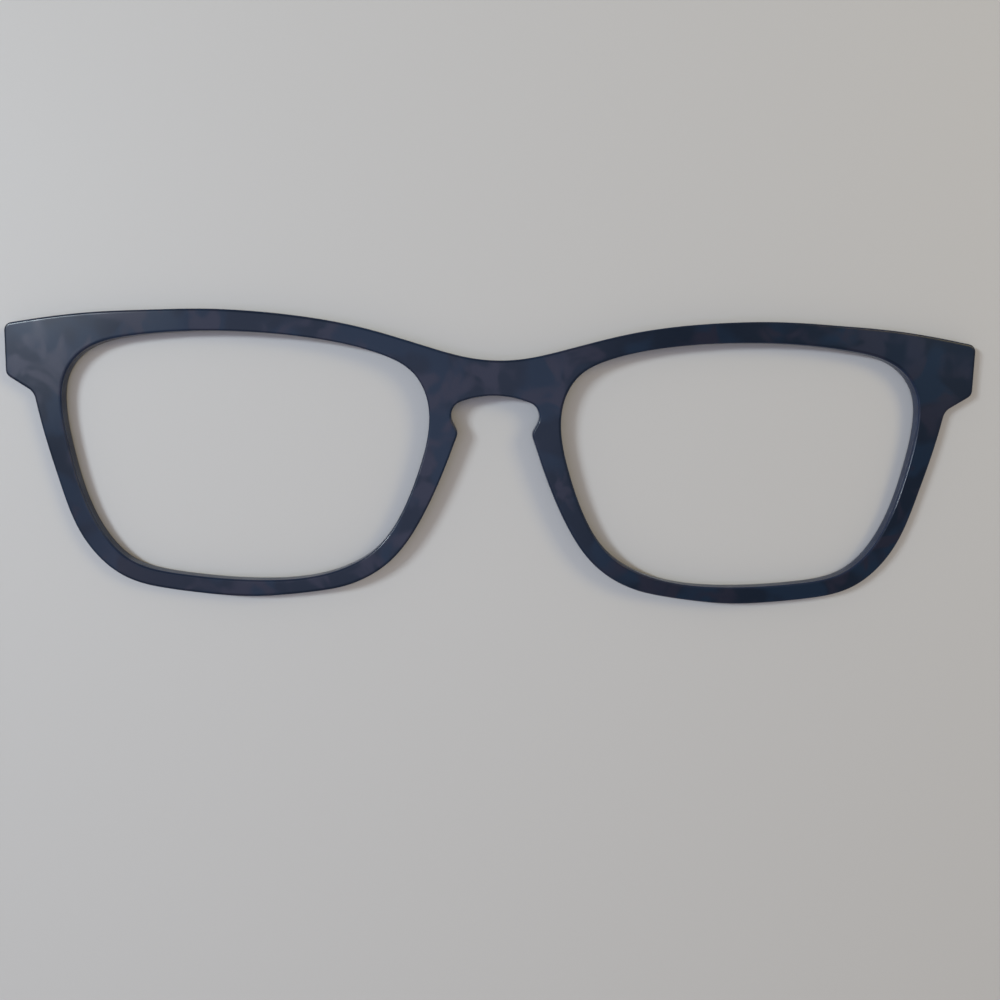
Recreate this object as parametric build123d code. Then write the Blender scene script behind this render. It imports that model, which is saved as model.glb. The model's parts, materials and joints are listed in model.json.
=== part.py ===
from build123d import *
import math
import os

# A clip-on front for spectacles: one thin bent front without lenses, which small
# magnets in its back hold against the spectacles behind it. It is modelled
# standing square to its own axes, X across the face, Y up the face and Z out of
# the face, and is then laid down on its back as it comes to rest on a table.

# The two lens openings
opening_width = 52.8
opening_height = 36.1
nose_gap = 19.2

# The rims, each width measured square to the edge of its opening
rim_upper_temple = 3.15
rim_lower_temple = 2.7
rim_temple_corner = 2.85
rim_bottom = 2.45
rim_nose_corner = 2.22
rim_lower_nose = 2.75
rim_upper_nose = 3.5
rim_brow_nose = 2.85
rim_brow_temple = 3.35

# The bridge, its top a drop below the top of the openings, and the keyhole under it
bridge_height = 5.05
bridge_drop = 3.4
saddle_rise = 1.65
bridge_arch_rise = 1.95
keyhole_width = 14.2
keyhole_corner_radius = 2.1
pinch_width = 10.65
pinch_depth = 5.45
pinch_radius = 1.4

# The end blocks, which cover the hinges of the spectacles behind, their tops a rise
# above the top of the openings
end_reach = 7.6
end_height = 7.25
end_rise = 0.3
end_top_slope_degrees = 10.5
end_slope_run = 3.9
end_slope_drop = 2.4
end_corner_radius = 1.2
end_root_radius = 2.0

# The two sheets that are bonded into one front, and the bend across it
facing_thickness = 0.8
backing_thickness = 1.4
bend_sag = 1.4
front_edge_bevel = 0.3
rear_edge_bevel = 0.2

# The magnets, their blind pockets and the film of glue in each
end_magnet_diameter = 4.0
bridge_magnet_diameter = 3.0
magnet_thickness = 1.0
magnet_edge_bevel = 0.1
magnet_clearance = 0.05
glue_thickness = 0.1
end_magnet_inset = 3.9
end_magnet_drop = 4.1
bridge_magnet_spacing = 11.0

# How far a trimming solid runs past what it trims
overrun = 2.0

# The outline of an opening in shares of its half width and half height, from its
# nose side down along the bottom, up its temple side and back along the brow
opening_shares = [
    (-0.965, 0.0),
    (-0.869, -0.389),
    (-0.714, -0.727),
    (-0.465, -0.924),
    (-0.056, -0.997),
    (0.365, -0.958),
    (0.64, -0.849),
    (0.822, -0.547),
    (0.953, 0.022),
    (0.99, 0.398),
    (0.975, 0.592),
    (0.895, 0.778),
    (0.771, 0.885),
    (0.603, 0.942),
    (0.305, 0.987),
    (-0.056, 0.99),
    (-0.478, 0.93),
    (-0.751, 0.832),
    (-0.906, 0.707),
    (-0.988, 0.499),
]

# Where the widths of the rims are measured, as shares of the way round the opening,
# and how far each has changed there from the first width of its stretch to the second
temple_shares = [(0.5, 0.0), (0.45, 1.0)]
bottom_shares = [(0.4, 0.0), (0.35, 0.55), (0.3, 1.0), (0.225, 1.0)]
nose_corner_shares = [(0.18, 0.0), (0.14, 0.7), (0.1, 1.0)]
nose_shares = [(0.05, 0.3), (0.0, 1.0)]
brow_shares = [(0.875, 0.3), (0.85, 0.0), (0.8, 0.0), (0.75, 0.2), (0.7, 0.5), (0.65, 1.0)]

# How many points of the back edge are looked at to find how the front lies
resting_point_count = 720
halving_count = 40

# Worked out from the sizes above
opening_centre_x = nose_gap / 2 + opening_width / 2
half_width = nose_gap / 2 + opening_width + end_reach
bridge_top_level = opening_height / 2 - bridge_drop
bridge_level = bridge_top_level - bridge_height
end_top_level = opening_height / 2 + end_rise
front_thickness = backing_thickness + facing_thickness
rear_radius = (half_width**2 + bend_sag**2) / (2 * bend_sag)
bend_centre_z = bend_sag - rear_radius
pocket_depth = glue_thickness + magnet_thickness


def opening_curve():
    """The closed edge of the right-hand lens opening."""
    points = []
    for across_share, up_share in opening_shares:
        x = opening_centre_x + across_share * opening_width / 2
        points.append((x, up_share * opening_height / 2))
    return Spline(points, periodic=True)


def rim_points(opening, first_width, second_width, shares):
    """Points of the outer edge, each a rim width out from the edge of the opening."""
    points = []
    for way_round_share, changed_share in shares:
        rim_width = first_width + changed_share * (second_width - first_width)
        distance = way_round_share * opening.length
        point = opening.position_at(distance, position_mode=PositionMode.LENGTH)
        along = opening.tangent_at(distance, position_mode=PositionMode.LENGTH)
        points.append(point + Vector(along.Y, -along.X) * rim_width)
    return points


def brow_points(opening):
    """The outer edge over the brow, from the nose side to the temple side."""
    return rim_points(opening, rim_brow_nose, rim_brow_temple, brow_shares)


def lower_rim_points(opening):
    """The outer edge from the temple round the bottom to the nose."""
    temple = rim_points(opening, rim_upper_temple, rim_lower_temple, temple_shares)
    bottom = rim_points(opening, rim_temple_corner, rim_bottom, bottom_shares)
    nose_corner = rim_points(opening, rim_nose_corner, rim_lower_nose, nose_corner_shares)
    nose = rim_points(opening, rim_lower_nose, rim_upper_nose, nose_shares)
    return temple + bottom + nose_corner + nose


def half_front(opening):
    """The flat shape of the right half, with its corners rounded and its opening cut."""
    bridge_top = Vector(0, bridge_top_level)
    saddle = Vector(nose_gap / 2, bridge_top_level + saddle_rise)
    end_top = Vector(half_width, end_top_level)
    end_bottom = end_top - Vector(0, end_height)
    end_root = end_bottom - Vector(end_slope_run, end_slope_drop)
    pinch = Vector(pinch_width / 2, bridge_level - pinch_depth)
    keyhole_corner = Vector(keyhole_width / 2, bridge_level - bridge_arch_rise)
    bridge_underside = Vector(0, bridge_level)
    across = Axis.X.direction
    falling = across.rotate(Axis.Z, -end_top_slope_degrees)

    brow_line = [bridge_top, saddle] + brow_points(opening) + [end_top]
    brow = Spline(brow_line, tangents=[across, falling])
    block = Polyline(end_top, end_bottom, end_root)
    lower_rim = Spline([end_root] + lower_rim_points(opening) + [pinch])
    keyhole_side = Line(pinch, keyhole_corner)
    keyhole_roof = TangentArc(bridge_underside, keyhole_corner, tangent=across)
    middle = Line(bridge_underside, bridge_top)
    shape = make_face([brow, block, lower_rim, keyhole_side, keyhole_roof, middle])

    for corner, radius in [
        (end_top, end_corner_radius),
        (end_bottom, end_corner_radius),
        (end_root, end_root_radius),
        (pinch, pinch_radius),
        (keyhole_corner, keyhole_corner_radius),
    ]:
        shape = fillet(shape.vertices().sort_by_distance(corner)[0], radius)
    return shape - make_face(opening)


def front_shape():
    """The whole front as a flat shape, its left half the mirror of its right."""
    right_half = half_front(opening_curve())
    return right_half + mirror(right_half, about=Plane.YZ)


def bent_sheet(inner_radius, thickness):
    """A plain sheet, bent about an axis that runs up the face, far behind it."""
    reach = half_width + overrun
    arcs = []
    for radius in [inner_radius, inner_radius + thickness]:
        side_z = bend_centre_z + math.sqrt(radius**2 - reach**2)
        middle_z = bend_centre_z + radius
        arcs.append(ThreePointArc((-reach, side_z), (0, middle_z), (reach, side_z)))
    sides = [Line(arcs[0] @ 0, arcs[1] @ 0), Line(arcs[0] @ 1, arcs[1] @ 1)]
    section = Plane.XZ * make_face(arcs + sides)
    return extrude(section, amount=opening_height, both=True)


def trimmed_sheet(shape, inner_radius, thickness):
    """A bent sheet, cut to the shape of the front by a cutter square to the face."""
    cutter_height = bend_sag + front_thickness + 2 * overrun
    cutter = extrude(Pos(0, 0, -overrun) * shape, amount=cutter_height)
    return bent_sheet(inner_radius, thickness) & cutter


def magnet_places():
    """Each magnet's name, diameter and place on the back, its axis pointing into the front."""
    end_x = half_width - end_magnet_inset
    end_y = end_top_level - end_magnet_drop
    bridge_x = bridge_magnet_spacing / 2
    bridge_y = bridge_level + bridge_height / 2
    places = []
    for name, diameter, x, y in [
        ("left_end", end_magnet_diameter, -end_x, end_y),
        ("left_bridge", bridge_magnet_diameter, -bridge_x, bridge_y),
        ("right_bridge", bridge_magnet_diameter, bridge_x, bridge_y),
        ("right_end", end_magnet_diameter, end_x, end_y),
    ]:
        turn = math.asin(x / rear_radius)
        rear_z = bend_centre_z + rear_radius * math.cos(turn)
        places.append((name, diameter, Pos(x, y, rear_z) * Rot(0, math.degrees(turn), 0)))
    return places


def pocket_cutter(place, diameter):
    """A round blind pocket, bored square to the back."""
    depth = pocket_depth + overrun
    bore = Cylinder(diameter / 2 + magnet_clearance, depth, align=(Align.CENTER, Align.CENTER, Align.MIN))
    return place * Pos(0, 0, -overrun) * bore


def magnet(place, diameter):
    """A plated disc magnet, flush with the back."""
    disc = Cylinder(diameter / 2, magnet_thickness, align=(Align.CENTER, Align.CENTER, Align.MIN))
    return place * chamfer(disc.edges().filter_by(GeomType.CIRCLE), magnet_edge_bevel)


def glue_film(place, diameter):
    """The film of glue between a magnet and the floor of its pocket."""
    film = Cylinder(diameter / 2, glue_thickness, align=(Align.CENTER, Align.CENTER, Align.MIN))
    return place * Pos(0, 0, magnet_thickness) * film


def facing_sheet(shape):
    """The navy sheet that shows, its front edges broken by a narrow bevel."""
    sheet = trimmed_sheet(shape, rear_radius + backing_thickness, facing_thickness)
    front = sheet.faces().filter_by(GeomType.CYLINDER).sort_by(SortBy.RADIUS)[-1]
    return chamfer(front.edges(), front_edge_bevel)


def backing_sheet(shape, places):
    """The sheet that carries the magnets, its back edges bevelled and its pockets bored."""
    sheet = trimmed_sheet(shape, rear_radius, backing_thickness)
    back = sheet.faces().filter_by(GeomType.CYLINDER).sort_by(SortBy.RADIUS)[-2]
    sheet = chamfer(back.edges(), rear_edge_bevel)
    for _, diameter, place in places:
        sheet -= pocket_cutter(place, diameter)
    return sheet


def resting_turn(shape):
    """The angle the front turns through as it comes to rest on a flat table.

    Its bend leaves it on the back edges of its end blocks, and it tips about
    them until its lower rims touch as well.
    """
    edge = shape.face().outer_wire()
    back_edge = []
    for index in range(resting_point_count):
        point = edge @ (index / resting_point_count)
        rear_z = bend_centre_z + math.sqrt(rear_radius**2 - point.X**2)
        back_edge.append((point.Y, rear_z))
    least, most = 0.0, math.pi / 4
    for _ in range(halving_count):
        turn = (least + most) / 2
        upper = min(z * math.cos(turn) + y * math.sin(turn) for y, z in back_edge if y > 0)
        lower = min(z * math.cos(turn) + y * math.sin(turn) for y, z in back_edge if y < 0)
        if lower > upper:
            least = turn
        else:
            most = turn
    return math.degrees(turn)


def make_pieces():
    """Every piece by its name, in the front's own axes."""
    shape = front_shape()
    places = magnet_places()
    pieces = {"navy_facing": facing_sheet(shape), "backing": backing_sheet(shape, places)}
    for name, diameter, place in places:
        pieces[name + "_magnet"] = magnet(place, diameter)
        pieces[name + "_glue"] = glue_film(place, diameter)
    return pieces, resting_turn(shape)


def laid_down(pieces, turn):
    """The pieces at rest on a table, the middle of their footprint at the origin."""
    turned = {name: Rot(turn, 0, 0) * piece for name, piece in pieces.items()}
    box = Compound(list(turned.values())).bounding_box()
    to_table = Pos(-box.center().X, -box.center().Y, -box.min.Z)
    return {name: to_table * piece for name, piece in turned.items()}


pieces, turn = make_pieces()
os.makedirs("parts", exist_ok=True)
for name, piece in laid_down(pieces, turn).items():
    export_step(piece, f"parts/{name}.step")
print(f"the front tips by {turn:.2f} degrees as it comes to rest")
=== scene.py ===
# %% [markdown]
# # A magnetic clip-on front for glasses
#
# The object is one thin spectacle front without lenses. It covers the front of a pair of
# glasses, and small magnets in its back hold it there. It is made of two sheets of
# cellulose acetate, bonded together, cut to one outline, bent a little across the face
# and polished. This lesson takes the measured solid model as a fixed frame, builds both
# sheets again with really rounded edges, gives each surface its finish, and lights the
# front as it lies on a pale table.

# %% The measured model
import json
import math

import bpy
from mathutils import Euler, Matrix, Vector


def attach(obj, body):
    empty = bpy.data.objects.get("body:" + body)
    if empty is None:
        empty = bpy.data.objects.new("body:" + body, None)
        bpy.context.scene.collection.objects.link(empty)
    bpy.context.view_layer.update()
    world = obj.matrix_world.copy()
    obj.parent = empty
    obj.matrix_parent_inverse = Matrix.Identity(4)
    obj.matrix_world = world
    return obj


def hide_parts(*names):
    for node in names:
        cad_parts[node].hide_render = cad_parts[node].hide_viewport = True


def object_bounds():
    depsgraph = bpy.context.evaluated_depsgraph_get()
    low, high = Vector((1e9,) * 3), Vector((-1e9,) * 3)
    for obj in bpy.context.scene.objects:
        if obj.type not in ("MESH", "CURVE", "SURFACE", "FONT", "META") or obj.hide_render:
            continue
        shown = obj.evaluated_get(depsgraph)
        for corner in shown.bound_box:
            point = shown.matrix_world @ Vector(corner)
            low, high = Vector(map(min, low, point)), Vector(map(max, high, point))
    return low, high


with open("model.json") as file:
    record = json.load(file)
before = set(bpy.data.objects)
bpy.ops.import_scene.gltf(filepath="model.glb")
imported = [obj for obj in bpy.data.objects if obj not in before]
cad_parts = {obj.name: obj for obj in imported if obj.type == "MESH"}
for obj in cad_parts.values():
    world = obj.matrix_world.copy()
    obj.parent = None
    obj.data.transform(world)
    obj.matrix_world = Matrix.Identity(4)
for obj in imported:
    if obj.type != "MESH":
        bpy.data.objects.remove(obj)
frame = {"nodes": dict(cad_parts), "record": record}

measured_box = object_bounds()
for node_name in sorted(frame["nodes"]):
    print(node_name, "has", len(frame["nodes"][node_name].data.polygons), "triangles")

# %% [markdown]
# ## Two small helpers
#
# Colours are given as sRGB hex values, as on any colour chart, and shaders want
# linear light, so one function turns the one into the other. The node trees below, for
# shapes and for finishes, are all built by one helper: it adds a node, sets its options
# and fills its inputs with values or with links. Sizes are written in millimetres.

# %% Colours, node trees and millimetres
MM = 0.001


def colour(hex_value):
    """The linear colour that an sRGB hex value such as #1B2433 stands for."""
    shares = [int(hex_value[start : start + 2], 16) / 255 for start in (1, 3, 5)]
    linear = [s / 12.92 if s <= 0.04045 else ((s + 0.055) / 1.055) ** 2.4 for s in shares]
    return (*linear, 1.0)


def add(tree, kind, inputs=(), output=0, **options):
    """Adds a node to a tree, sets its options, fills its inputs, and returns one of its outputs.

    An input takes a value, a link from another node's output, or a list of such links.
    """
    node = tree.nodes.new(kind)
    for name, value in options.items():
        setattr(node, name, value)
    for name, value in dict(inputs).items():
        if isinstance(value, (bpy.types.NodeSocket, list)):
            for link in value if isinstance(value, list) else [value]:
                tree.links.new(link, node.inputs[name])
        else:
            node.inputs[name].default_value = value
    return node.outputs[output] if len(node.outputs) else None


print("a mid grey of #808080 is", round(colour("#808080")[0], 3), "in linear light")

# %% [markdown]
# ## How the front lies
#
# The front was designed square to its own face, and it lies tipped by about one degree,
# because its bend leaves it on its end blocks and lower rims. Everything that follows is
# easier in the face's own axes, in millimetres: across, up the face and out of the face.
# The four magnet faces that the model gives as mounts tell both things that are needed.
# Their axes add up to the direction square to the face, and an end magnet leans by its
# distance from the middle over the radius of the bend.

# %% The face's own axes and the radius of the bend
mounts = {mount["name"]: mount for mount in frame["record"]["mounts"]}
magnet_names = ["left_end", "left_bridge", "right_bridge", "right_end"]
mount_places = {name: Vector(mounts[name + "_magnet_face"]["pos_m"]) for name in magnet_names}
mount_axes = {name: Vector(mounts[name + "_magnet_face"]["axis"]) for name in magnet_names}

out_of_face = -sum(mount_axes.values(), Vector()).normalized()
across_face = Vector((1, 0, 0))
up_face = out_of_face.cross(across_face)

bend_radius = mount_places["left_end"].x / -mount_axes["left_end"].x / MM
bridge_reach = mount_places["right_bridge"].x / MM
bridge_fall = bend_radius - math.sqrt(bend_radius**2 - bridge_reach**2)
middle_of_back = (mount_places["left_bridge"] + mount_places["right_bridge"]) / 2
middle_of_back += out_of_face * bridge_fall * MM

face_turn = Matrix((across_face, up_face, out_of_face)).transposed()
row_from_face = Matrix.Translation(middle_of_back) @ face_turn.to_4x4() @ Matrix.Scale(MM, 4)
face_from_row = row_from_face.inverted()
print("the face is tipped by", round(math.degrees(math.acos(out_of_face.z)), 3), "degrees")
print("the bend has a radius of", round(bend_radius, 1), "mm")


def height_over_back(place):
    """How far a place lies in front of the bent back surface, in millimetres."""
    return math.hypot(place.x, place.z + bend_radius) - bend_radius


def height_range(node_name):
    """The least and greatest height of a node over the bent back."""
    places = [face_from_row @ vertex.co for vertex in frame["nodes"][node_name].data.vertices]
    heights = [height_over_back(place) for place in places]
    return min(heights), max(heights)


print("the front is", round(height_range("navy_facing")[1], 2), "mm thick")

# %% [markdown]
# ## The outline, read from the measured sheet
#
# The measured sheets have their walls square to the face, so the edge where the two
# sheets meet is the true outline of the front and of its two openings. A flat face is
# bounded by the edges that only one of its triangles uses. Put end to end, those edges
# give three closed outlines, which are turned so that the material is always on the left.

# %% Read the three closed outlines
BONDED_FACE_LIMIT = 0.9
MERGE_DECIMALS = 3


def bond_edges(node):
    """The edges round the face of a sheet that looks backwards, each as two flat points."""
    places = [face_from_row @ vertex.co for vertex in node.data.vertices]
    flat_places = [tuple(round(value, MERGE_DECIMALS) for value in place.xy) for place in places]
    uses = {}
    for face in node.data.polygons:
        if (face_from_row.to_3x3() @ face.normal).normalized().z < -BONDED_FACE_LIMIT:
            corners = [flat_places[index] for index in face.vertices]
            for first, second in zip(corners, corners[1:] + corners[:1]):
                edge = frozenset((first, second))
                uses[edge] = uses.get(edge, 0) + 1
    return [edge for edge, count in uses.items() if count == 1]


def enclosed_area(outline):
    """The area inside an outline, negative where it runs clockwise."""
    following = outline[1:] + outline[:1]
    return sum(here.cross(there) for here, there in zip(outline, following)) / 2


def closed_outlines(edges):
    """The outlines as lists of points, the outer one first, the material on their left."""
    neighbours = {}
    for first, second in edges:
        neighbours.setdefault(first, []).append(second)
        neighbours.setdefault(second, []).append(first)
    outlines = []
    while neighbours:
        here = next(iter(neighbours))
        outline = []
        while here is not None:
            outline.append(Vector(here))
            here = next((place for place in neighbours.pop(here) if place in neighbours), None)
        outlines.append(outline)
    outlines.sort(key=lambda outline: -abs(enclosed_area(outline)))
    for index, outline in enumerate(outlines):
        if (enclosed_area(outline) > 0) != (index == 0):
            outline.reverse()
    return outlines


outlines = closed_outlines(bond_edges(frame["nodes"]["navy_facing"]))
for outline in outlines:
    print("an outline of", len(outline), "points round", round(enclosed_area(outline)), "square mm")

# %% [markdown]
# ## The outline as a smooth curve
#
# A Bezier spline passes through its points, and its handles set the way it runs there.
# On a round stretch a circle through a point and its two neighbours gives that way. Where
# one neighbour is much farther off than the other, the outline is almost straight on that
# side, and the longer step gives it. Handles a third of the way to the next point then
# follow the true outline to about a hundredth of a millimetre.

# %% Make the outline curve
HANDLE_SHARE = 1 / 3
STRAIGHT_STEP_RATIO = 3


def scene_object(name, data):
    """An object in the scene that shows a curve, a mesh, a light or a camera."""
    shown = bpy.data.objects.new(name, data)
    bpy.context.scene.collection.objects.link(shown)
    return shown


def way_through(before, here, after):
    """The direction in which an outline runs through a point."""
    arriving, leaving = here - before, after - here
    shorter, longer = sorted((arriving, leaving), key=lambda step: step.length)
    if longer.length > STRAIGHT_STEP_RATIO * shorter.length:
        return longer.normalized()
    weighted = arriving.normalized() * leaving.length + leaving.normalized() * arriving.length
    return weighted.normalized()


def outline_curve(outlines):
    """One curve object that holds every closed outline, in the face's own axes."""
    curve = bpy.data.curves.new("front_outline", "CURVE")
    curve.dimensions = "3D"
    for outline in outlines:
        spline = curve.splines.new("BEZIER")
        spline.bezier_points.add(len(outline) - 1)
        spline.use_cyclic_u = True
        previous, following = outline[-1:] + outline[:-1], outline[1:] + outline[:1]
        for before, here, after, point in zip(previous, outline, following, spline.bezier_points):
            way = way_through(before, here, after)
            point.handle_left_type = "FREE"
            point.handle_right_type = "FREE"
            point.co = here.to_3d()
            point.handle_left = (here - way * (here - before).length * HANDLE_SHARE).to_3d()
            point.handle_right = (here + way * (after - here).length * HANDLE_SHARE).to_3d()
    return scene_object("front_outline", curve)


front_outline = outline_curve(outlines)
lengths = [spline.calc_length() for spline in front_outline.data.splines]
print("the outlines are", [round(length, 1) for length in lengths], "mm long")

# %% [markdown]
# ## Where the magnets sit
#
# Four points, one behind each magnet, carry the radius of the pocket that is bored for
# it. They are the only thing that tells the backing sheet from the facing sheet.

# %% Points for the pockets
MAGNET_CLEARANCE_MM = 0.05


def magnet_radius(name):
    """The radius of a magnet, measured square to its axis, in millimetres."""
    disc = frame["nodes"][name + "_magnet"].data
    reach = [vertex.co - mount_places[name] for vertex in disc.vertices]
    return max(mount_axes[name].cross(offset).length for offset in reach) / MM


def pocket_points():
    """A mesh of one point behind each magnet, with the radius of its pocket."""
    mesh = bpy.data.meshes.new("pocket_points")
    places = [face_from_row @ mount_places[name] for name in magnet_names]
    mesh.from_pydata([(place.x, place.y, 0) for place in places], [], [])
    radii = [magnet_radius(name) + MAGNET_CLEARANCE_MM for name in magnet_names]
    mesh.attributes.new("pocket_radius", "FLOAT", "POINT").data.foreach_set("value", radii)
    print("pocket radii in mm:", [round(radius, 3) for radius in radii])
    return scene_object("pocket_points", mesh)


pockets = pocket_points()

# %% [markdown]
# ## One tree for both sheets
#
# Both sheets follow one rule: the outline, swept by the section of the sheet's edge, with
# flat faces filled in between, bored for the magnets, and bent. Geometry Nodes hold such a
# rule well, because each size stays an input that can be changed and tried. The section
# is an open line of four points, in from the wall at the front, down the wall and in
# again at the back, with its two corners rounded. The sweep puts the line's X to the right
# of the outline and its Y into the table, so both are written with a minus sign.

# %% The sheet tree: its inputs and the section of its edge
SHEET_SIZES = {
    "Back Height": "how far the sheet's back face is in front of the bent back surface",
    "Front Height": "how far its front face is",
    "Back Rounding": "radius of the edge at its back",
    "Front Rounding": "radius of the edge at its front",
    "Holding Width": "flat strip beside each rounding, which keeps the shading flat",
    "Point Spacing": "distance between points along the outline",
    "Bend Radius": "radius of the bent back surface",
    "Pocket Depth": "depth of the pockets for the magnets",
}
ROUNDING_STEPS = 5
POCKET_STEPS = 96
SHARP_ANGLE_DEGREES = 40
MERGE_DISTANCE_MM = 0.0005
# Points 0 and 1 of the section are at the front, and points 2 and 3 at the back.
LAST_FRONT_POINT = 1.5
# An open edge has one face beside it, and every other edge has two.
MOST_FACES_AT_OPEN_EDGE = 1.5

sheet_tree = bpy.data.node_groups.new("bonded_sheet", "GeometryNodeTree")
sheet_tree.interface.new_socket(name="Outline", in_out="INPUT", socket_type="NodeSocketGeometry")
size_kind = {"in_out": "INPUT", "socket_type": "NodeSocketFloat"}
for size_name, meaning in SHEET_SIZES.items():
    sheet_tree.interface.new_socket(name=size_name, description=meaning, **size_kind)
sheet_tree.interface.new_socket(name="Pockets", in_out="INPUT", socket_type="NodeSocketObject")
sheet_tree.interface.new_socket(name="Acetate", in_out="INPUT", socket_type="NodeSocketMaterial")
sheet_tree.interface.new_socket(name="Sheet", in_out="OUTPUT", socket_type="NodeSocketGeometry")
given = sheet_tree.nodes.new("NodeGroupInput").outputs


def section_points():
    """The four points of the section, from the front face round the wall to the back face."""
    corners = {}
    order = [("Front", False), ("Front", True), ("Back", True), ("Back", False)]
    for point, (end, is_wall) in enumerate(order, start=1):
        place = {"Y": given[end + " Height"]}
        if not is_wall:
            strip = {0: given[end + " Rounding"], 1: given["Holding Width"]}
            place["X"] = add(sheet_tree, "ShaderNodeMath", strip, operation="ADD")
        mirrored = {0: add(sheet_tree, "ShaderNodeCombineXYZ", place), "Scale": -1.0}
        turned = add(sheet_tree, "ShaderNodeVectorMath", mirrored, operation="SCALE")
        corners[f"Point {point}"] = turned
    return corners


four_points = section_points()
section = add(sheet_tree, "GeometryNodeCurvePrimitiveQuadrilateral", four_points, mode="POINTS")
opening = {"Geometry": section, "Cyclic": False}
open_section = add(sheet_tree, "GeometryNodeSetSplineCyclic", opening)
point_index = add(sheet_tree, "GeometryNodeInputIndex")
past_front = {0: point_index, 1: LAST_FRONT_POINT}
is_back_corner = add(sheet_tree, "ShaderNodeMath", past_front, operation="GREATER_THAN")
choice = {"False": given["Front Rounding"], "True": given["Back Rounding"]}
choice["Switch"] = is_back_corner
corner_radius = add(sheet_tree, "GeometryNodeSwitch", choice, input_type="FLOAT")
corners = {"Curve": open_section, "Count": ROUNDING_STEPS, "Radius": corner_radius}
edge_section = add(sheet_tree, "GeometryNodeFilletCurve", corners, mode="POLY")
print("the sheet tree has", len(SHEET_SIZES), "named sizes")

# %% [markdown]
# The sweep gives the walls and both roundings as one strip round each outline. The strip
# ends in open edges at the front and at the back. Those edges, turned back into curves
# and filled, give the two flat faces, point for point the same, so they merge with the
# strip into one closed shell. At the back the mouths of the pockets are filled with them,
# which leaves four round holes.

# %% The sheet tree: walls, faces and pockets
given_outline = {"Curve": given["Outline"]}
level_outline = add(sheet_tree, "GeometryNodeSetCurveNormal", given_outline, mode="Z_UP")
even_steps = {"Curve": level_outline, "Length": given["Point Spacing"]}
even_outline = add(sheet_tree, "GeometryNodeResampleCurve", even_steps, mode="LENGTH")
sweep = {"Curve": even_outline, "Profile Curve": edge_section}
walls = add(sheet_tree, "GeometryNodeCurveToMesh", sweep)

faces_at_edge = add(sheet_tree, "GeometryNodeInputMeshEdgeNeighbors")
few_faces = {0: faces_at_edge, 1: MOST_FACES_AT_OPEN_EDGE}
is_open_edge = add(sheet_tree, "ShaderNodeMath", few_faces, operation="LESS_THAN")
place_now = add(sheet_tree, "GeometryNodeInputPosition")
height_now = add(sheet_tree, "ShaderNodeSeparateXYZ", {"Vector": place_now}, output="Z")
both_heights = {0: given["Back Height"], 1: given["Front Height"]}
height_sum = add(sheet_tree, "ShaderNodeMath", both_heights, operation="ADD")
middle_height = add(sheet_tree, "ShaderNodeMath", {0: height_sum, 1: 2.0}, operation="DIVIDE")


def flat_face(side, height, mouths=()):
    """The flat face inside the walls' open edges on one side, looking towards the front."""
    is_side = add(sheet_tree, "ShaderNodeMath", {0: height_now, 1: middle_height}, operation=side)
    is_rim = add(sheet_tree, "ShaderNodeMath", {0: is_open_edge, 1: is_side}, operation="MULTIPLY")
    rim = add(sheet_tree, "GeometryNodeMeshToCurve", {"Mesh": walls, "Selection": is_rim})
    rims = add(sheet_tree, "GeometryNodeJoinGeometry", {0: [rim, *mouths]})
    flat = add(sheet_tree, "GeometryNodeFillCurve", {"Curve": rims}, mode="TRIANGLES")
    lift = add(sheet_tree, "ShaderNodeCombineXYZ", {"Z": height})
    return add(sheet_tree, "GeometryNodeTransform", {"Geometry": flat, "Translation": lift})


given_pockets = {"Object": given["Pockets"]}
pocket_places = add(sheet_tree, "GeometryNodeObjectInfo", given_pockets, output="Geometry")
unit_circle = {"Resolution": POCKET_STEPS, "Radius": 1.0}
circle = add(sheet_tree, "GeometryNodeCurvePrimitiveCircle", unit_circle)
radius_name = {"Name": "pocket_radius"}
pocket_radius = add(sheet_tree, "GeometryNodeInputNamedAttribute", radius_name, data_type="FLOAT")
mouth_circles = {"Points": pocket_places, "Instance": circle, "Scale": pocket_radius}
mouth_copies = add(sheet_tree, "GeometryNodeInstanceOnPoints", mouth_circles)
pocket_mouths = add(sheet_tree, "GeometryNodeRealizeInstances", {"Geometry": mouth_copies})

front_face = flat_face("GREATER_THAN", given["Front Height"])
back_inside_out = flat_face("LESS_THAN", given["Back Height"], [pocket_mouths])
back_face = add(sheet_tree, "GeometryNodeFlipFaces", {"Mesh": back_inside_out})

bore_end = add(sheet_tree, "ShaderNodeCombineXYZ", {"Y": given["Pocket Depth"]})
bore_mirrored = {0: bore_end, "Scale": -1.0}
bore_end_turned = add(sheet_tree, "ShaderNodeVectorMath", bore_mirrored, operation="SCALE")
bore_line = add(sheet_tree, "GeometryNodeCurvePrimitiveLine", {"End": bore_end_turned})
level_mouths = add(sheet_tree, "GeometryNodeSetCurveNormal", {"Curve": pocket_mouths}, mode="Z_UP")
bore_sweep = {"Curve": level_mouths, "Profile Curve": bore_line}
pocket_walls = add(sheet_tree, "GeometryNodeCurveToMesh", bore_sweep)
flat_floors = add(sheet_tree, "GeometryNodeFillCurve", {"Curve": pocket_mouths}, mode="TRIANGLES")
floor_lift = add(sheet_tree, "ShaderNodeCombineXYZ", {"Z": given["Pocket Depth"]})
lifted_floors = {"Geometry": flat_floors, "Translation": floor_lift}
floors_inside_out = add(sheet_tree, "GeometryNodeTransform", lifted_floors)
pocket_floors = add(sheet_tree, "GeometryNodeFlipFaces", {"Mesh": floors_inside_out})
pockets_upright = add(sheet_tree, "GeometryNodeJoinGeometry", {0: [pocket_walls, pocket_floors]})
print("the sheet tree has", len(sheet_tree.nodes), "nodes so far")

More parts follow.
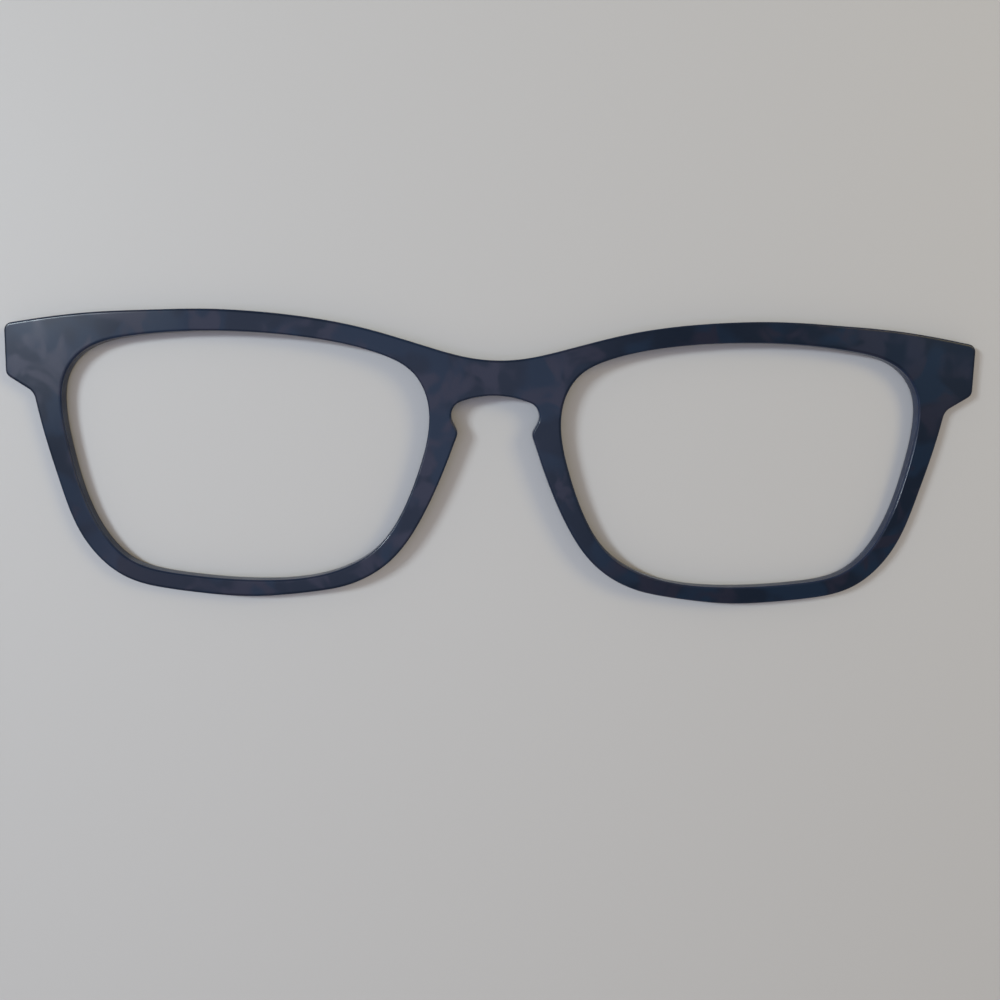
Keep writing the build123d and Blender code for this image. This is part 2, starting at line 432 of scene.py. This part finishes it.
# %% [markdown]
# The pockets are bored square to the bent back, so they fan out a little: a point moves
# across in step with its height over the back. Then the whole flat sheet is bent by one
# formula, which leaves the outline where it was, as a cutter that comes straight at the
# face does. The height over the back is stored first, because the finish of the walls
# follows it.

# %% The sheet tree: lean, merge, bend and finish
across_now = add(sheet_tree, "ShaderNodeSeparateXYZ", {"Vector": place_now}, output="X")
lean_parts = {0: across_now, 1: height_now}
across_by_height = add(sheet_tree, "ShaderNodeMath", lean_parts, operation="MULTIPLY")
lean = {0: across_by_height, 1: given["Bend Radius"]}
lean_across = add(sheet_tree, "ShaderNodeMath", lean, operation="DIVIDE")
lean_offset = add(sheet_tree, "ShaderNodeCombineXYZ", {"X": lean_across})
pocket_lean = {"Geometry": pockets_upright, "Offset": lean_offset}
pockets_leaning = add(sheet_tree, "GeometryNodeSetPosition", pocket_lean)

parts = {0: [walls, front_face, back_face, pockets_leaning]}
loose_shell = add(sheet_tree, "GeometryNodeJoinGeometry", parts)
merge = {"Geometry": loose_shell, "Distance": MERGE_DISTANCE_MM}
shell = add(sheet_tree, "GeometryNodeMergeByDistance", merge)
stored = {"Geometry": shell, "Name": "height_over_back", "Value": height_now}
flat_sheet = add(sheet_tree, "GeometryNodeStoreNamedAttribute", stored, data_type="FLOAT")

radius_parts = {0: given["Bend Radius"], 1: height_now}
radius_here = add(sheet_tree, "ShaderNodeMath", radius_parts, operation="ADD")
radius_squared = add(sheet_tree, "ShaderNodeMath", {0: radius_here, 1: 2.0}, operation="POWER")
across_twice = {0: across_now, 1: across_now}
across_squared = add(sheet_tree, "ShaderNodeMath", across_twice, operation="MULTIPLY")
squares = {0: radius_squared, 1: across_squared}
level_squared = add(sheet_tree, "ShaderNodeMath", squares, operation="SUBTRACT")
level_here = add(sheet_tree, "ShaderNodeMath", {0: level_squared}, operation="SQRT")
fall = add(sheet_tree, "ShaderNodeMath", {0: level_here, 1: radius_here}, operation="SUBTRACT")
bend_offset = add(sheet_tree, "ShaderNodeCombineXYZ", {"Z": fall})
bending = {"Geometry": flat_sheet, "Offset": bend_offset}
bent_sheet = add(sheet_tree, "GeometryNodeSetPosition", bending)

edge_angle = add(sheet_tree, "GeometryNodeInputMeshEdgeAngle")
sharp_angle = {0: edge_angle, 1: math.radians(SHARP_ANGLE_DEGREES)}
is_sharp = add(sheet_tree, "ShaderNodeMath", sharp_angle, operation="GREATER_THAN")
all_faces = {"Geometry": bent_sheet}
smooth_sheet = add(sheet_tree, "GeometryNodeSetShadeSmooth", all_faces, domain="FACE")
sharp_edges = {"Geometry": smooth_sheet, "Selection": is_sharp, "Shade Smooth": False}
shaded_sheet = add(sheet_tree, "GeometryNodeSetShadeSmooth", sharp_edges, domain="EDGE")
real_sheet = add(sheet_tree, "GeometryNodeRealizeInstances", {"Geometry": shaded_sheet})
coloured = {"Geometry": real_sheet, "Material": given["Acetate"]}
finished_sheet = add(sheet_tree, "GeometryNodeSetMaterial", coloured)
add(sheet_tree, "NodeGroupOutput", {"Sheet": finished_sheet})
print("the whole sheet tree has", len(sheet_tree.nodes), "nodes")

# %% [markdown]
# ## Cellulose acetate, polished and tumbled
#
# The sheet that shows is cellulose acetate, cut from a block and polished on the wheel.
# It is dyed through in a very dark navy, with clouds of slate and of a pearly smoke left
# by the mixing of the dyes. To the eye it is almost black where nothing bright is
# mirrored in it, and slate blue where a window or lamp is, and there the smoke gleams a
# little more than the rest. Polishing leaves very fine scratches and a slightly uneven
# level, which soften the mirrored light. The walls are as the cutter left them: paler and
# duller, with fine broken pale lines along them, which are partly real scoring and partly
# painted glints of the lamp on the cutter's ridges. The sheet behind is the same stuff,
# milled and tumbled all over.

# %% The acetate's sizes
# Real polishing scratches and cutter lines are finer than the render can show, so both are
# drawn as coarse as they have to be to show.
SLATE_SIZE_MM = 6.5
SLATE_SEED = 415.5
SLATE_EDGE = {"From Min": 0.46, "From Max": 0.6}
SMOKE_SIZE_MM = 5.5
SMOKE_SEED = 217.65
SMOKE_EDGE = {"From Min": 0.5, "From Max": 0.62}
SMOKE_PEARL = 0.18
MILLING_PITCH_MM = 0.45
MILLING_DEPTH_MM = 0.0015
# Pale lines go on the crests of the cutter's wave: partly real scoring, partly painted glints of
# the lamp.
GLINT_CREST_EDGE = {"From Min": 0.5, "From Max": 1.0}
STREAK_SIZE_MM = 2.5
STREAK_EDGE = {"From Min": 0.48, "From Max": 0.6}
POLISH_BLEND_MM = 0.15
LEVEL_SIZE_MM = 6.0
LEVEL_DEPTH_MM = 0.003
NOISE_REACH = {"From Min": 0.3, "From Max": 0.7}
SCRATCH_SIZE_MM = 0.35
SCRATCH_DEPTH_MM = 0.0004
ACETATE_IOR = 1.48
MIX_A, MIX_B, MIX_RESULT = 6, 7, 2
front_width_mm = (measured_box[1][0] - measured_box[0][0]) / MM
print("side by side,", round(front_width_mm / SMOKE_SIZE_MM), "clouds of smoke span the front")

# %% [markdown]
# Three functions share the work: the dyes of the face, the milled walls and the relief.
# The clouds are noise in four dimensions. Three of them are the place in the sheet, and
# the fourth is a seed, picked so that the clouds lie much as they do in the photo. A
# narrow range out of each noise gives the clouds their edges. The pale lines on the walls,
# partly real scoring and partly painted glints, follow the height over the back, and a
# coarser noise breaks them into streaks.

# %% Dyes, painted glint lines and relief of the acetate
def clouded_dye(tree, place, navy, slate, smoke):
    """Navy with clouds of slate and of smoke, and how much of it is smoke."""
    slate_inputs = {"Vector": place, "W": SLATE_SEED, "Scale": 1 / (SLATE_SIZE_MM * MM)}
    slate_inputs |= {"Detail": 1.0, "Distortion": 0.5}
    slate_cloud = add(tree, "ShaderNodeTexNoise", slate_inputs, output="Fac", noise_dimensions="4D")
    slate_edge = {"Value": slate_cloud, **SLATE_EDGE}
    slate_share = add(tree, "ShaderNodeMapRange", slate_edge, interpolation_type="SMOOTHSTEP")
    slate_mix = {0: slate_share, MIX_A: navy, MIX_B: slate}
    slaty = add(tree, "ShaderNodeMix", slate_mix, output=MIX_RESULT, data_type="RGBA")

    smoke_inputs = {"Vector": place, "W": SMOKE_SEED, "Scale": 1 / (SMOKE_SIZE_MM * MM)}
    smoke_inputs |= {"Detail": 2.0, "Distortion": 0.8}
    smoke_cloud = add(tree, "ShaderNodeTexNoise", smoke_inputs, output="Fac", noise_dimensions="4D")
    smoke_edge = {"Value": smoke_cloud, **SMOKE_EDGE}
    smoke_share = add(tree, "ShaderNodeMapRange", smoke_edge, interpolation_type="SMOOTHSTEP")
    smoke_mix = {0: smoke_share, MIX_A: slaty, MIX_B: smoke}
    smoky = add(tree, "ShaderNodeMix", smoke_mix, output=MIX_RESULT, data_type="RGBA")
    return smoky, smoke_share


def milled_dye_and_glint_lines(tree, place, height, milled, glint_scored):
    """The pale milled wall with broken pale lines, partly real scoring and partly painted glints,
    and the wave that the cutter left.
    """
    turn = {0: height, 1: 2 * math.pi / MILLING_PITCH_MM}
    milling_turn = add(tree, "ShaderNodeMath", turn, operation="MULTIPLY")
    milling = add(tree, "ShaderNodeMath", {0: milling_turn}, operation="SINE")
    # The crests of the wave, broken into streaks, are painted paler: partly real scoring, partly
    # painted glints of the lamp on the ridges.
    glint_crest_share = add(tree, "ShaderNodeMapRange", {"Value": milling, **GLINT_CREST_EDGE})
    streak_inputs = {"Vector": place, "Scale": 1 / (STREAK_SIZE_MM * MM), "Detail": 1.0}
    streak = add(tree, "ShaderNodeTexNoise", streak_inputs, output="Fac")
    streak_share = add(tree, "ShaderNodeMapRange", {"Value": streak, **STREAK_EDGE})
    both_shares = {0: glint_crest_share, 1: streak_share}
    glint_scored_share = add(tree, "ShaderNodeMath", both_shares, operation="MULTIPLY")
    glint_scored_mix = {0: glint_scored_share, MIX_A: milled, MIX_B: glint_scored}
    wall = add(tree, "ShaderNodeMix", glint_scored_mix, output=MIX_RESULT, data_type="RGBA")
    return wall, milling


def worked_relief(tree, place, level, milling):
    """The height of the surface: its uneven level, fine scratches and the cutter's wave."""
    scratch_inputs = {"Vector": place, "Scale": 1 / (SCRATCH_SIZE_MM * MM), "Detail": 2.0}
    scratch = add(tree, "ShaderNodeTexNoise", scratch_inputs, output="Fac")
    scratch_depth = {0: scratch, 1: SCRATCH_DEPTH_MM * MM, 2: 0.0}
    scratched = add(tree, "ShaderNodeMath", scratch_depth, operation="MULTIPLY_ADD")
    level_depth = {0: level, 1: LEVEL_DEPTH_MM * MM, 2: scratched}
    relief = add(tree, "ShaderNodeMath", level_depth, operation="MULTIPLY_ADD")
    milled_depth = {0: milling, 1: MILLING_DEPTH_MM * MM / 2, 2: relief}
    return add(tree, "ShaderNodeMath", milled_depth, operation="MULTIPLY_ADD")


print("the uneven level is", LEVEL_DEPTH_MM, "mm deep, the scratches", SCRATCH_DEPTH_MM, "mm")

# %% [markdown]
# The finish puts the three together. The height over the back, which the sheet tree has
# stored, tells the milled wall from the polished rounding and face. Smoke is pearly: it
# mirrors a little light of its own, which a thin coat over the smoke alone gives.

# %% The acetate finish
def new_material(name):
    """A material with an empty node tree."""
    material = bpy.data.materials.new(name)
    material.use_nodes = True
    material.node_tree.nodes.clear()
    return material


def acetate(name, tones_and_glint, milled_height, dullest, glossiest, gleam):
    """Acetate dyed navy, slate and smoke: polished from a height on, pale below, with pale lines
    there that are partly real scoring and partly painted glints.
    """
    navy, smoke, slate, milled, glint_scored = [colour(hex_tone) for hex_tone in tones_and_glint]
    material = new_material(name)
    tree = material.node_tree
    place = add(tree, "ShaderNodeTexCoord", output="Object")
    height = add(tree, "ShaderNodeAttribute", output="Fac", attribute_name="height_over_back")
    level_inputs = {"Vector": place, "Scale": 1 / (LEVEL_SIZE_MM * MM), "Detail": 0.0}
    level = add(tree, "ShaderNodeTexNoise", level_inputs, output="Fac")

    smoky, smoke_share = clouded_dye(tree, place, navy, slate, smoke)
    # The wall colour carries pale lines that are partly real scoring and partly painted glints of
    # the lamp.
    wall, milling = milled_dye_and_glint_lines(tree, place, height, milled, glint_scored)
    polish_edge = {"From Min": milled_height, "From Max": milled_height + POLISH_BLEND_MM}
    polish_share = add(tree, "ShaderNodeMapRange", {"Value": height, **polish_edge})
    wall_mix = {0: polish_share, MIX_A: wall, MIX_B: smoky}
    dyed_and_glint_lined = add(tree, "ShaderNodeMix", wall_mix, output=MIX_RESULT, data_type="RGBA")

    gloss_range = {"Value": level, **NOISE_REACH, "To Min": glossiest, "To Max": dullest}
    roughness = add(tree, "ShaderNodeMapRange", gloss_range)
    relief = worked_relief(tree, place, level, milling)
    bump = add(tree, "ShaderNodeBump", {"Strength": 1.0, "Distance": 1.0, "Height": relief})
    pearl = add(tree, "ShaderNodeMapRange", {"Value": smoke_share, "To Max": SMOKE_PEARL})
    surface = {"Base Color": dyed_and_glint_lined, "Roughness": roughness, "IOR": ACETATE_IOR, "Normal": bump}
    surface |= {"Specular IOR Level": gleam, "Coat Weight": pearl, "Coat Roughness": glossiest}
    shader = add(tree, "ShaderNodeBsdfPrincipled", surface)
    add(tree, "ShaderNodeOutputMaterial", {"Surface": shader})
    return material


# Navy, smoke, slate, the milled wall, and its pale lines, which are partly real scoring and partly
# painted glints.
ACETATE_TONES_AND_GLINT = ("#0A1829", "#161B2D", "#0F2135", "#222D45", "#3E4D65")
face_height = height_range("navy_facing")[1]
polished = {"milled_height": face_height - POLISH_BLEND_MM}
polished |= {"dullest": 0.24, "glossiest": 0.18, "gleam": 0.235}
tumbled = {"milled_height": face_height, "dullest": 0.36, "glossiest": 0.3, "gleam": 0.5}
polished_acetate = acetate("polished_navy_acetate", ACETATE_TONES_AND_GLINT, **polished)
tumbled_acetate = acetate("tumbled_navy_acetate", ACETATE_TONES_AND_GLINT, **tumbled)
print("made", polished_acetate.name, "and", tumbled_acetate.name)

# %% [markdown]
# ## The two sheets
#
# The sheets meet where the measured model says, so their heights are read from it: the
# lowest and the highest point of each node over the bent back. The roundings are chosen,
# and so are the flat strip beside each of them and the spacing of the points along the
# outline. The edges that a hand touches are rounded well, and the two edges that meet at
# the bond are barely broken, which leaves the fine line that shows round the walls.

# %% Build both sheets from the tree
FRONT_ROUNDING_MM = 0.28
REAR_ROUNDING_MM = 0.25
BOND_ROUNDING_MM = 0.06
HOLDING_WIDTH_MM = 0.15
POINT_SPACING_MM = 0.25


def build_sheet(name, node_name, roundings, pocket_depth, pocket_object, material):
    """Makes a sheet with the tree and lays it down where the measured sheet is."""
    back_height, front_height = height_range(node_name)
    values = [back_height, front_height, *roundings]
    values += [HOLDING_WIDTH_MM, POINT_SPACING_MM, bend_radius, pocket_depth]
    modifier = front_outline.modifiers.new(name, "NODES")
    modifier.node_group = sheet_tree
    inputs = [item for item in sheet_tree.interface.items_tree if item.in_out == "INPUT"]
    sockets = {item.name: item.identifier for item in inputs}
    for size_name, value in zip(SHEET_SIZES, values):
        modifier[sockets[size_name]] = value
    modifier[sockets["Pockets"]] = pocket_object
    modifier[sockets["Acetate"]] = material
    evaluated_outline = front_outline.evaluated_get(bpy.context.evaluated_depsgraph_get())
    mesh = bpy.data.meshes.new_from_object(evaluated_outline)
    front_outline.modifiers.remove(modifier)
    mesh.name = name
    mesh.transform(row_from_face)
    sheet = scene_object(name, mesh)
    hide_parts(node_name)
    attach(sheet, "root")
    print(name, "has", len(mesh.polygons), "faces, from", round(back_height, 3), "mm over the back")


glue_top = height_range("left_bridge_glue")[1]
facing_roundings = (BOND_ROUNDING_MM, FRONT_ROUNDING_MM)
backing_roundings = (REAR_ROUNDING_MM, BOND_ROUNDING_MM)
build_sheet("facing_sheet", "navy_facing", facing_roundings, glue_top, None, polished_acetate)
build_sheet("backing_sheet", "backing", backing_roundings, glue_top, pockets, tumbled_acetate)
for helper in (front_outline, pockets):
    bpy.data.objects.remove(helper)

# %% [markdown]
# ## Nickel plate and clear glue
#
# The magnets are sintered discs with a bright nickel plating. Plating follows the grain
# of the disc under it, so it mirrors softly and not quite evenly. Under each magnet is a
# film of clear glue, which only shows as a faint gleam down in the gap round the magnet.

# %% The nickel plate and the glue
# The real grain is finer than this, but would then be too fine to show.
GRAIN_SIZE_MM = 0.18
GRAIN_DEPTH_MM = 0.0006
BUBBLE_SIZE_MM = 0.4
GLUE_IOR = 1.5


def nickel_plate():
    """Bright nickel on a sintered disc: a warm white metal with a fine grain."""
    material = new_material("nickel_plate")
    tree = material.node_tree
    place = add(tree, "ShaderNodeTexCoord", output="Object")
    grain_inputs = {"Vector": place, "Scale": 1 / (GRAIN_SIZE_MM * MM), "Detail": 3.0}
    grain = add(tree, "ShaderNodeTexNoise", grain_inputs, output="Fac")
    gloss_range = {"Value": grain, **NOISE_REACH, "To Min": 0.18, "To Max": 0.34}
    roughness = add(tree, "ShaderNodeMapRange", gloss_range)
    tones = {0: grain, MIX_A: colour("#C9C4BA"), MIX_B: colour("#DAD6CD")}
    plated = add(tree, "ShaderNodeMix", tones, output=MIX_RESULT, data_type="RGBA")
    grain_depth = {0: grain, 1: GRAIN_DEPTH_MM * MM}
    relief = add(tree, "ShaderNodeMath", grain_depth, operation="MULTIPLY")
    bump = add(tree, "ShaderNodeBump", {"Strength": 1.0, "Distance": 1.0, "Height": relief})
    surface = {"Base Color": plated, "Metallic": 1.0, "Roughness": roughness, "Normal": bump}
    shader = add(tree, "ShaderNodeBsdfPrincipled", surface)
    add(tree, "ShaderNodeOutputMaterial", {"Surface": shader})
    return material


def clear_glue():
    """Cured glue: nearly clear, a little yellow, with small clouds of trapped air."""
    material = new_material("clear_glue")
    tree = material.node_tree
    place = add(tree, "ShaderNodeTexCoord", output="Object")
    bubble_inputs = {"Vector": place, "Scale": 1 / (BUBBLE_SIZE_MM * MM), "Detail": 2.0}
    bubbles = add(tree, "ShaderNodeTexNoise", bubble_inputs, output="Fac")
    tones = {0: bubbles, MIX_A: colour("#D8CDA8"), MIX_B: colour("#F0EBDC")}
    tinted = add(tree, "ShaderNodeMix", tones, output=MIX_RESULT, data_type="RGBA")
    gloss_range = {"Value": bubbles, "To Min": 0.15, "To Max": 0.4}
    roughness = add(tree, "ShaderNodeMapRange", gloss_range)
    surface = {"Base Color": tinted, "Roughness": roughness}
    surface |= {"IOR": GLUE_IOR, "Transmission Weight": 0.6}
    shader = add(tree, "ShaderNodeBsdfPrincipled", surface)
    add(tree, "ShaderNodeOutputMaterial", {"Surface": shader})
    return material


finishes = {"_magnet": nickel_plate(), "_glue": clear_glue()}
for name in magnet_names:
    for ending, finish in finishes.items():
        node_mesh = frame["nodes"][name + ending].data
        node_mesh.materials.clear()
        node_mesh.materials.append(finish)
        print(name + ending, "is finished in", finish.name)

# %% [markdown]
# ## The table
#
# The front lies on a pale, dull table top, which shows its shadow. One large square is
# enough, at the level of the lowest points of the front.

# %% The table
TABLE_SIZE_MM = 4000.0


def table():
    """A plain pale table top of dull lacquer, at the level that the front rests on."""
    reach = TABLE_SIZE_MM * MM / 2
    corners = [(-reach, -reach, 0), (reach, -reach, 0), (reach, reach, 0), (-reach, reach, 0)]
    mesh = bpy.data.meshes.new("table_top")
    mesh.from_pydata(corners, [], [(0, 1, 2, 3)])
    material = new_material("pale_lacquer")
    tree = material.node_tree
    surface = {"Base Color": colour("#B8B9B9"), "Roughness": 0.5, "Specular IOR Level": 0.2}
    shader = add(tree, "ShaderNodeBsdfPrincipled", surface)
    add(tree, "ShaderNodeOutputMaterial", {"Surface": shader})
    mesh.materials.append(material)
    return scene_object("table_top", mesh)


table_top = table()
print("the table is", round(table_top.dimensions.x, 1), "m wide")

# %% [markdown]
# ## The lamps
#
# A narrow cool key lamp at the upper left gives the shadows to the lower right. Soft
# panels hang over the table and are mirrored in the polished face: a window in the left
# end, a wide panel in the middle, and small ones in the lower left rim and in the right
# end. A warm fill from far off at the right and the weak light of the room itself
# brighten the shadows.

# %% The lamps and the room's light
TABLE_MIDDLE = (0, 0, 0)
ROOM_STRENGTH = 0.362


def lamp(name, place_mm, aim_mm, size_mm, power, tint):
    """A flat soft lamp that looks at a point."""
    light = bpy.data.lights.new(name, "AREA")
    light.shape = "RECTANGLE"
    light.size, light.size_y = [side * MM for side in size_mm]
    light.energy = power
    light.color = colour(tint)[:3]
    lamp_object = scene_object(name, light)
    lamp_object.location = Vector(place_mm) * MM
    gaze = Vector(aim_mm) - Vector(place_mm)
    lamp_object.rotation_euler = gaze.to_track_quat("-Z", "Y").to_euler()
    print(name, "gives", power, "W from", round(gaze.length), "mm away")


lamp("key_lamp", (-373, 118, 455), TABLE_MIDDLE, size_mm=(45, 150), power=1.84, tint="#ECF8FF")

PANEL_HEIGHT_MM = 450
# Each panel has its middle and its size in mm, its power in W and its tint.
PANELS = {
    "window": ((-325, 50), (150, 150), 0.265, "#D5E1FF"),
    "overhead_panel": ((-75, -35), (310, 220), 0.37, "#CCD5FF"),
    "low_left_panel": ((-240, -125), (130, 70), 0.06, "#F1E4FF"),
    "right_panel": ((300, 45), (150, 80), 0.043, "#96C6FF"),
}
for name, (middle, size_mm, power, tint) in PANELS.items():
    lamp(name, (*middle, PANEL_HEIGHT_MM), (*middle, 0), size_mm, power, tint)

lamp("right_fill", (570, 300, 630), TABLE_MIDDLE, size_mm=(330, 330), power=2.05, tint="#FFE8AE")

room = bpy.data.worlds.new("room")
room.use_nodes = True
room.node_tree.nodes.clear()
room_light = {"Color": colour("#FFF1E4"), "Strength": ROOM_STRENGTH}
glow = add(room.node_tree, "ShaderNodeBackground", room_light)
add(room.node_tree, "ShaderNodeOutputWorld", {"Surface": glow})
bpy.context.scene.world = room
bpy.context.scene.view_settings.view_transform = "Standard"

# %% [markdown]
# ## The camera
#
# The camera hangs over the bridge, about 15 cm above the table, tipped a little, and sees
# the whole front. From so near it also sees the inner walls of both openings.

# %% The camera
CAMERA_PLACE_MM = (-3.382, 10.923, 147.815)
CAMERA_TURN_DEGREES = (-6.6135, -1.5655, 1.2333)
LENS_MM = 36.0
SENSOR_MM = 36.0
NEAREST_MM = 1.0

camera_data = bpy.data.cameras.new("overhead_camera")
camera_data.lens = LENS_MM
camera_data.sensor_width = SENSOR_MM
camera_data.clip_start = NEAREST_MM * MM
camera = scene_object("overhead_camera", camera_data)
camera.location = Vector(CAMERA_PLACE_MM) * MM
camera.rotation_euler = Euler([math.radians(angle) for angle in CAMERA_TURN_DEGREES], "XYZ")
bpy.context.scene.camera = camera
print("the camera is", round(camera.location.z / MM), "mm above the table")
